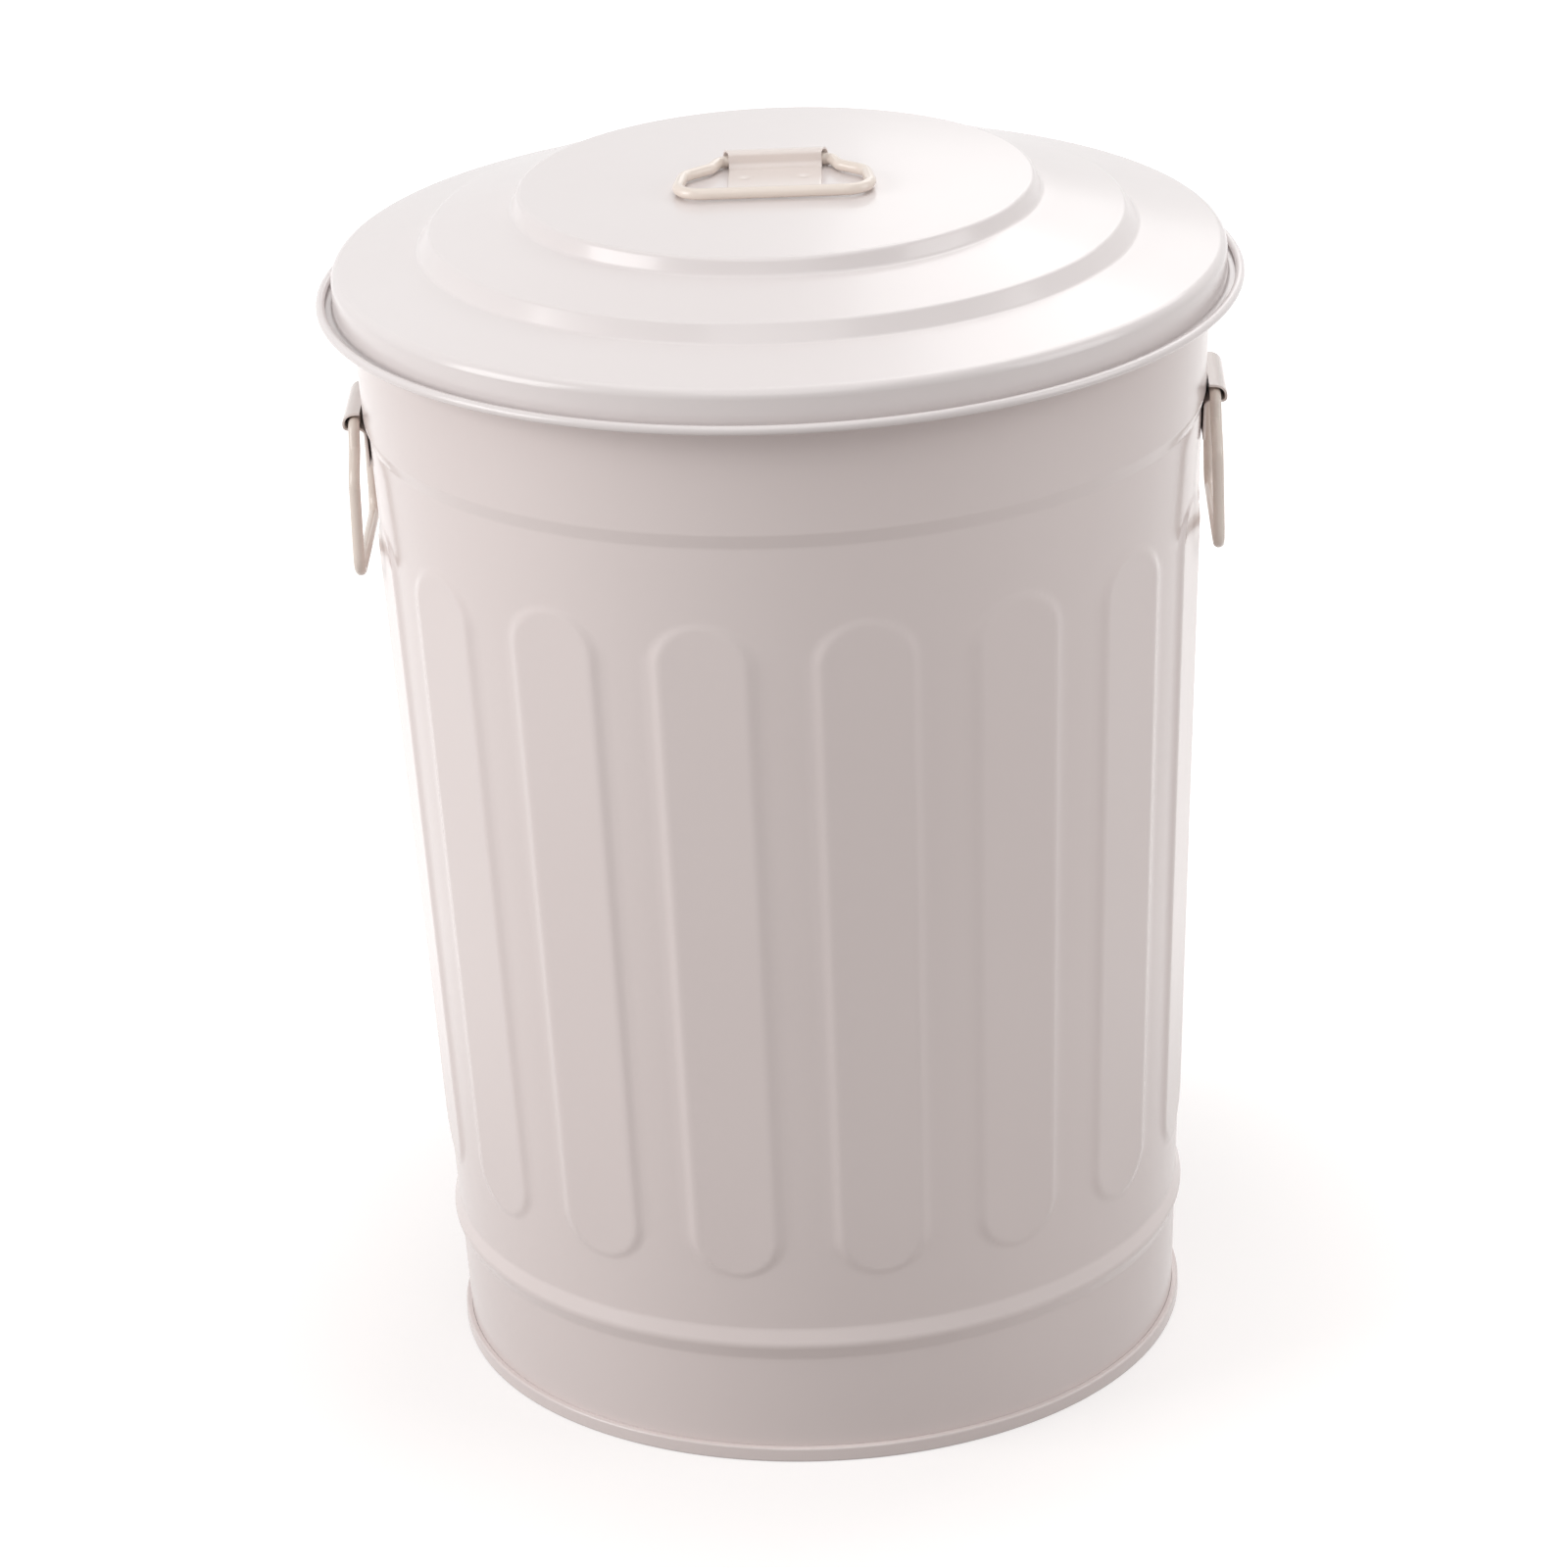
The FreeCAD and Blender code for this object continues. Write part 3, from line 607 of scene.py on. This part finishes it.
def main():
    make_mesh("body_sheet", *body_shell(), BODY_PAINT, "can", "painted_sheet", "body_shell")
    make_mesh("base_sheet", *base_pan(), BODY_PAINT, "can", "painted_sheet", "base_pan")
    make_mesh("lid_sheet", *lid_shell(), LID_PAINT, "lid", "painted_sheet", "lid_shell")
    lid_size, side_size = (LID_BAIL_REACH, LID_BAIL_CORNER), (SIDE_BAIL_REACH, SIDE_BAIL_CORNER)
    for name, body, size, shift, spot in (
        ("lid_bail", "lid_handle", lid_size, (BAR_SETBACK, 0, BAR_LIFT), on_lid()),
        ("left_bail", "left_handle", side_size, side_pivot(), on_side(-1)),
        ("right_bail", "right_handle", side_size, side_pivot(), on_side(1)),
    ):
        verts, faces, normals = wire_loop(*size)
        make_mesh(name + "_wire", placed(verts + np.array(shift), spot), faces,
                  placed(normals, spot, True), WIRE_PAINT, body, "painted_wire", name)
    for name, body, plate, step, spot in (
        ("lid_bracket", "lid", LID_PLATE, 0.0, on_lid()),
        ("left_bracket", "can", SIDE_PLATE, STEP_OUT, on_side(-1, SLOPE)),
        ("right_bracket", "can", SIDE_PLATE, STEP_OUT, on_side(1, SLOPE)),
    ):
        verts, faces = strap(plate, step)
        piece = make_mesh(name + "_strap", placed(verts, spot), faces, None,
                          FITTING_PAINT, body, "painted_fittings", name)
        piece.data.set_sharp_from_angle(angle=math.radians(SHARP_ANGLE))
    wire = frame["nodes"]["body_rim_wire"]
    wire.data.materials.clear()
    wire.data.materials.append(PLATED)


main()


# ---- stage, in metres ------------------------------------------------------------------------
CAMERA_PLACE, CAMERA_LENS, CAMERA_ROLL = (0.0732, -2.6838, 1.3984), 136.0, -2.48
CAMERA_AHEAD = (-0.02802, 0.92252, -0.38494)
CAMERA_RIGHT, CAMERA_UP = (0.99954, 0.03036, 0.0), (-0.01169, 0.38476, 0.92294)
SKY_LIGHT, WHITE = 0.33, 1.0        # strength of the world as a lamp, and as a white background
FLOOR_HALF = 8
FLOOR_NEAR, FLOOR_FAR = 0.58, 1.0   # emission near the can, dimmed to a painted shade round its foot in which its shadow shows, and far off
FADE_START, FADE_END = 0.18, 0.6    # distances from the can's axis between which that changes
AIM = (0, 0, 0.35)
# name, azimuth from the front towards the right, elevation, distance, size, power
LAMPS = (
    ("key_left", -70, 20, 2.2, (1.2, 1.4), 23.6),
    ("fill_right", 75, 20, 2.2, (1.2, 1.4), 11.7),
    ("back_right", 150, 50, 2.4, (1.4, 1.4), 12.1),
    ("back_low", 168, 28, 2.4, (0.9, 0.7), 2.0),
    ("top", 0, 89.9, 2.2, (2.0, 2.0), 10.8),
    ("front_high", 0, 50, 2.4, (1.4, 1.4), 8.6),
)


def camera():
    """Camera at the photograph's viewing angle."""
    data = bpy.data.cameras.new("camera")
    data.sensor_width, data.lens = 36.0, CAMERA_LENS
    data.clip_end = 30.0
    cam = bpy.data.objects.new("camera", data)
    bpy.context.scene.collection.objects.link(cam)
    forward, right, up = Vector(CAMERA_AHEAD).normalized(), Vector(CAMERA_RIGHT), Vector(CAMERA_UP)
    roll = math.radians(CAMERA_ROLL)
    rolled_right = math.cos(roll) * right + math.sin(roll) * up
    rolled_up = -math.sin(roll) * right + math.cos(roll) * up
    m = Matrix.Identity(4)
    for i, axis in enumerate((rolled_right, rolled_up, -forward)):
        m.col[i][:3] = axis.normalized()
    m.col[3][:3] = CAMERA_PLACE
    cam.matrix_world = m
    bpy.context.scene.camera = cam


def lamp(name, azimuth, elevation, distance, size, power):
    """White area lamp at a distance from AIM, facing it."""
    a, e = math.radians(azimuth), math.radians(elevation)
    offset = (math.sin(a) * math.cos(e), -math.cos(a) * math.cos(e), math.sin(e))
    place = [t + distance * o for t, o in zip(AIM, offset)]
    data = bpy.data.lights.new(name, "AREA")
    data.shape = "RECTANGLE"
    data.size, data.size_y = size
    data.energy = power
    lit = bpy.data.objects.new(name, data)
    bpy.context.scene.collection.objects.link(lit)
    lit.location = place
    lit.rotation_euler = (Vector(AIM) - Vector(place)).to_track_quat("-Z", "Y").to_euler()


def seen_white(tree):
    """1 for rays that should find a plain white background."""
    path = tree.nodes.new("ShaderNodeLightPath")
    most = path.outputs["Is Camera Ray"]
    for name in ("Is Glossy Ray", "Is Transmission Ray"):
        node = tree.nodes.new("ShaderNodeMath")
        node.operation = "MAXIMUM"
        link(tree, most, node.inputs[0])
        link(tree, path.outputs[name], node.inputs[1])
        most = node.outputs[0]
    return most


def world():
    """White where it is seen or reflected, and a weaker plain lamp for the rest."""
    w = bpy.data.worlds.new("studio")
    bpy.context.scene.world = w
    w.use_nodes = True
    tree = w.node_tree
    back = tree.nodes["Background"]
    back.inputs["Color"].default_value = (1, 1, 1, 1)
    node = tree.nodes.new("ShaderNodeMapRange")
    node.inputs["To Min"].default_value, node.inputs["To Max"].default_value = SKY_LIGHT, WHITE
    link(tree, seen_white(tree), node.inputs["Value"])
    link(tree, node.outputs["Result"], back.inputs["Strength"])


def floor():
    """Floor that glows white where it is seen, and less near the can: a painted shade round its foot, which
    glossy rays also carry onto the can's lower wall, and in which the lamps' shadow shows.
    """
    data = bpy.data.meshes.new("floor")
    corners = [(x * FLOOR_HALF, y * FLOOR_HALF, 0) for x, y in ((-1, -1), (1, -1), (1, 1), (-1, 1))]
    data.from_pydata(corners, [], [(0, 1, 2, 3)])
    plane = bpy.data.objects.new("floor", data)
    bpy.context.scene.collection.objects.link(plane)
    mat, tree, shader = node_material("floor_white")
    shader.inputs["Base Color"].default_value = (0.46, 0.43, 0.42, 1)
    shader.inputs["Roughness"].default_value = 0.8
    shader.inputs["Specular IOR Level"].default_value = 0.0
    shader.inputs["Emission Color"].default_value = (1, 1, 1, 1)
    place = tree.nodes.new("ShaderNodeNewGeometry").outputs["Position"]
    reach = tree.nodes.new("ShaderNodeVectorMath")
    reach.operation = "LENGTH"
    link(tree, place, reach.inputs[0])
    # painted shade: the glow fades from FLOOR_FAR down to FLOOR_NEAR towards the can's axis
    away = tree.nodes.new("ShaderNodeMapRange")
    away.interpolation_type = "SMOOTHSTEP"
    away.inputs["From Min"].default_value, away.inputs["From Max"].default_value = FADE_START, FADE_END
    away.inputs["To Min"].default_value, away.inputs["To Max"].default_value = FLOOR_NEAR, FLOOR_FAR
    link(tree, reach.outputs["Value"], away.inputs["Value"])
    node = tree.nodes.new("ShaderNodeMath")
    node.operation = "MULTIPLY"
    link(tree, seen_white(tree), node.inputs[0])
    link(tree, away.outputs["Result"], node.inputs[1])
    link(tree, node.outputs[0], shader.inputs["Emission Strength"])
    data.materials.append(mat)


camera()
world()
floor()
for setting in LAMPS:
    lamp(*setting)
bpy.context.scene.view_settings.view_transform = "Standard"
